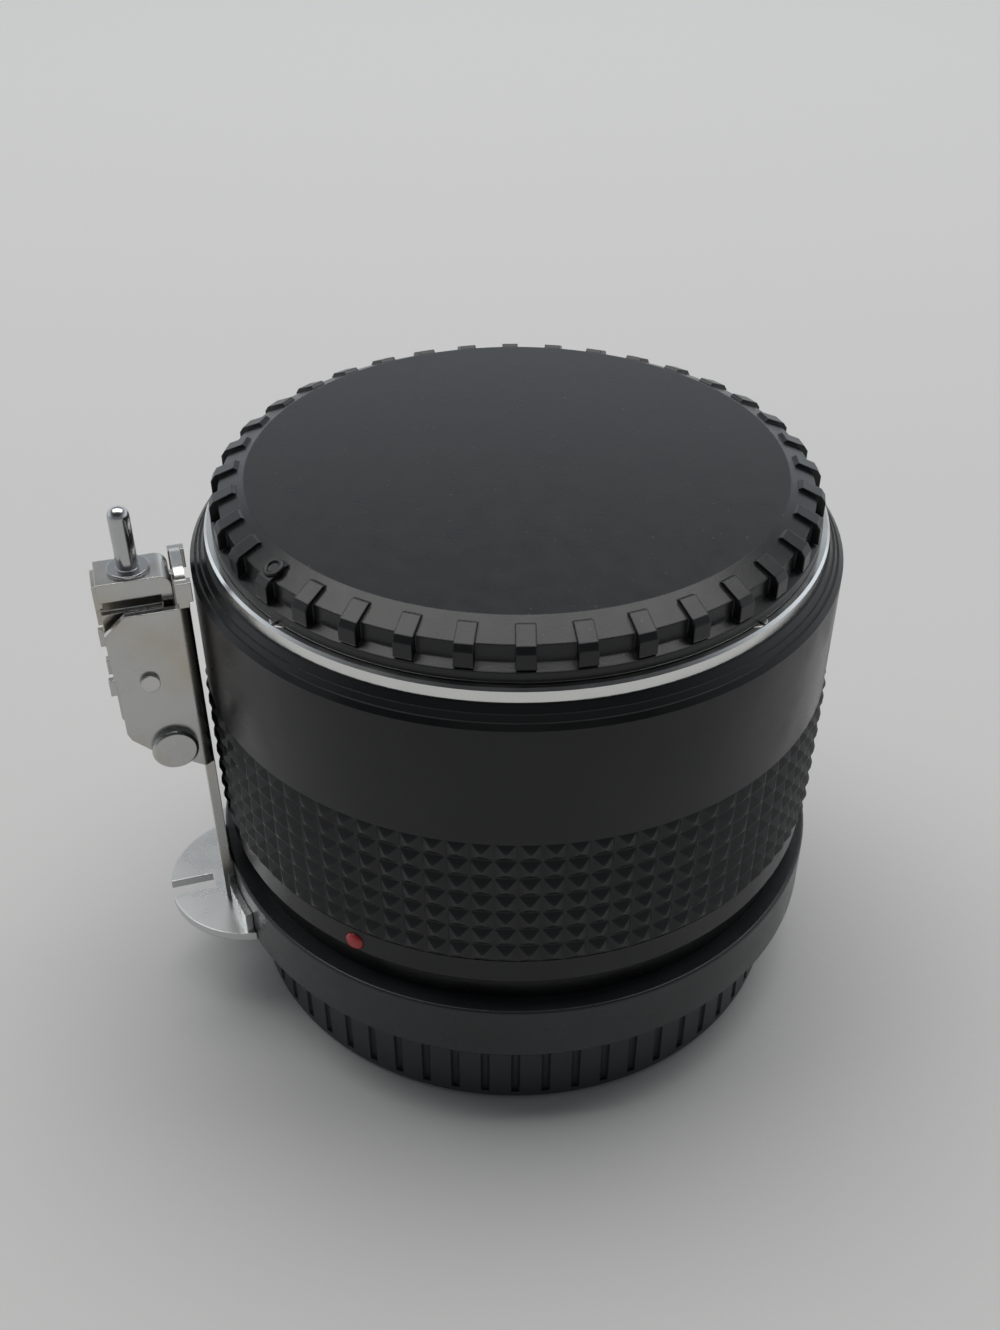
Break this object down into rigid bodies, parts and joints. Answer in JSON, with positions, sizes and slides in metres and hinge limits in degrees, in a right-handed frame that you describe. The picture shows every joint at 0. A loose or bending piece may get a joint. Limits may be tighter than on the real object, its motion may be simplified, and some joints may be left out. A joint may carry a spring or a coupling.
{
  "type": "camera teleconverter",
  "caption": "Short black lens barrel with bayonet mounts at both ends, toothed front cap, fluted rear cap, and a chrome arm with a folding coupling pin on a turning ring.",
  "frame": {"origin": "on the optical axis, where the rear cap stands on the table", "axes": "+Z along the optical axis towards the lens side, -Y towards the side with the red dot, the coupling arm 16.5 degrees from -X towards -Y, the lens release on +Y"},
  "size_m": [0.0739, 0.0676, 0.061],
  "materials": {
    "barrel_black": "satin black enamel on aluminium",
    "grip_black": "semi-gloss black, knurled",
    "dot_red": "red enamel",
    "mount_chrome": "satin chrome on brass",
    "button_chrome": "satin chrome",
    "screw_steel": "plated steel",
    "spring_steel": "spring steel",
    "cap_plastic": "fine-grained black plastic",
    "ring_grey": "dark grey anodised aluminium",
    "arm_steel": "satin nickel-chrome on steel sheet",
    "cell_black": "matt black anodised aluminium",
    "coated_glass": "polished optical glass with a coating",
    "transfer_brass": "blackened brass"
  },
  "bodies": {
    "barrel": {"main_barrel": "barrel_black", "index_dot": "dot_red", "grip_ring": "grip_black", "front_barrel": "barrel_black", "front_mount": "mount_chrome", "front_mount_screws": "screw_steel", "mount_spring": "spring_steel", "lock_spring": "spring_steel", "rear_mount": "mount_chrome", "rear_mount_screws": "screw_steel", "lens_cell": "cell_black", "cell_screws": "screw_steel", "rear_element": "coated_glass", "rear_retainer": "cell_black", "cemented_rear": "coated_glass", "cemented_front": "coated_glass", "element_spacer": "cell_black", "front_element": "coated_glass", "front_retainer": "cell_black", "return_spring": "spring_steel", "transfer_retainer": "spring_steel"},
    "coupling": {"coupling_ring": "ring_grey", "coupling_arm": "arm_steel", "arm_screws": "screw_steel", "pivot_stud": "arm_steel", "detent_rivets": "screw_steel", "prong": "arm_steel", "prong_screws": "screw_steel"},
    "lever": {"pin_lever": "arm_steel", "coupling_pin": "arm_steel"},
    "front_cap": {"front_cap": "cap_plastic"},
    "rear_cap": {"rear_cap": "cap_plastic"},
    "release": {"release_button": "button_chrome", "lock_pin": "screw_steel", "button_screw": "screw_steel"},
    "transfer": {"transfer_ring": "transfer_brass"}
  },
  "joints": [
    {"name": "coupling_turn", "type": "hinge", "parent": "barrel", "child": "coupling", "pos_m": [0, 0, 0.0135], "axis": [0, 0, 1], "range_deg": [-35, 35]},
    {"name": "lever_fold", "type": "hinge", "parent": "coupling", "child": "lever", "pos_m": [-0.03531, -0.01046, 0.0351], "axis": [0.284, -0.9588, 0], "range_deg": [0, 90]},
    {"name": "front_cap_lift", "type": "slide", "parent": "barrel", "child": "front_cap", "axis": [0, 0, 1], "range_m": [0, 0.03]},
    {"name": "rear_cap_drop", "type": "slide", "parent": "barrel", "child": "rear_cap", "axis": [0, 0, -1], "range_m": [0, 0.025]},
    {"name": "lens_release", "type": "slide", "parent": "barrel", "child": "release", "axis": [0, 0, -1], "range_m": [0, 0.002], "stiffness_N_per_m": 300, "springref_m": -0.002, "deforming": ["lock_spring"]},
    {"name": "aperture_transfer", "type": "hinge", "parent": "barrel", "child": "transfer", "pos_m": [0, 0, 0.02425], "axis": [0, 0, 1], "range_deg": [0, 30], "stiffness_Nm_per_rad": 0.01, "springref_deg": -17.19}
  ]
}
